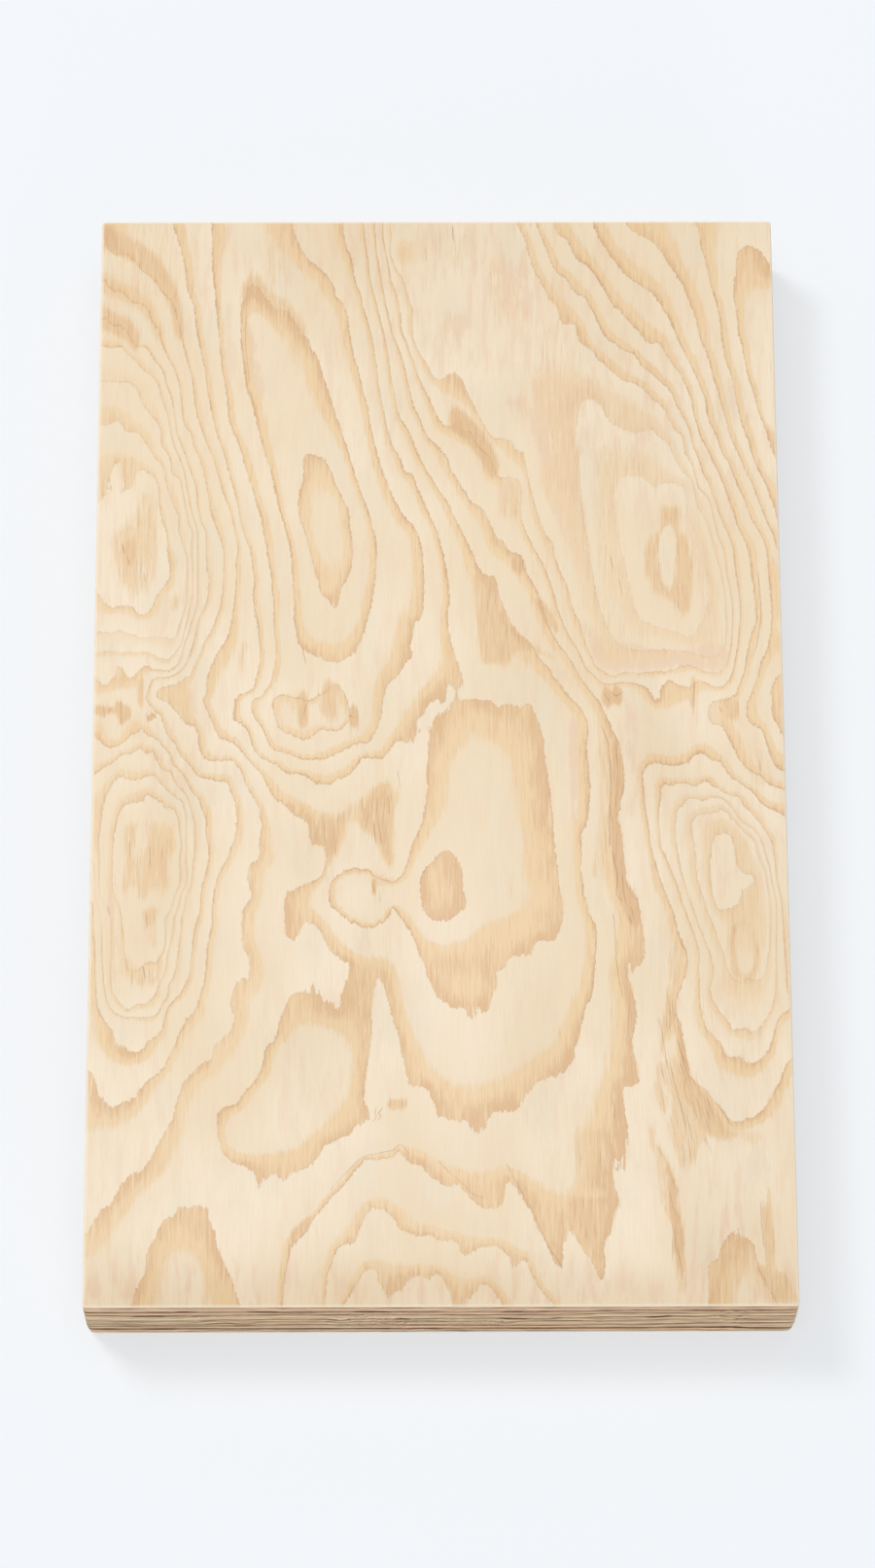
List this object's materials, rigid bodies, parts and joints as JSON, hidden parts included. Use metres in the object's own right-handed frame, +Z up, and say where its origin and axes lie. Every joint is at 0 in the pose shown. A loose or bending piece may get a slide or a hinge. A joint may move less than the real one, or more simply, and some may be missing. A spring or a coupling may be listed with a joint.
{
  "type": "plywood sheet",
  "caption": "Rectangular softwood plywood panel of cross-laid rotary-cut veneers, with a figured face veneer and bare sawn edges, for joinery, shelving or sheathing.",
  "frame": {"origin": "middle of the underside, on the surface that the panel lies on", "axes": "+Y along the length and the face grain, +X along the width, +Z up through the thickness, out of the face veneer"},
  "size_m": [0.12, 0.2, 0.018],
  "materials": {
    "face_veneer": "matte",
    "crossband": "matte",
    "core_veneer": "matte",
    "back_veneer": "matte"
  },
  "bodies": {
    "root": {"face_veneer": "face_veneer", "upper_crossband": "crossband", "upper_core_veneer": "core_veneer", "centre_crossband": "crossband", "lower_core_veneer": "core_veneer", "lower_crossband": "crossband", "back_veneer": "back_veneer"}
  },
  "joints": []
}
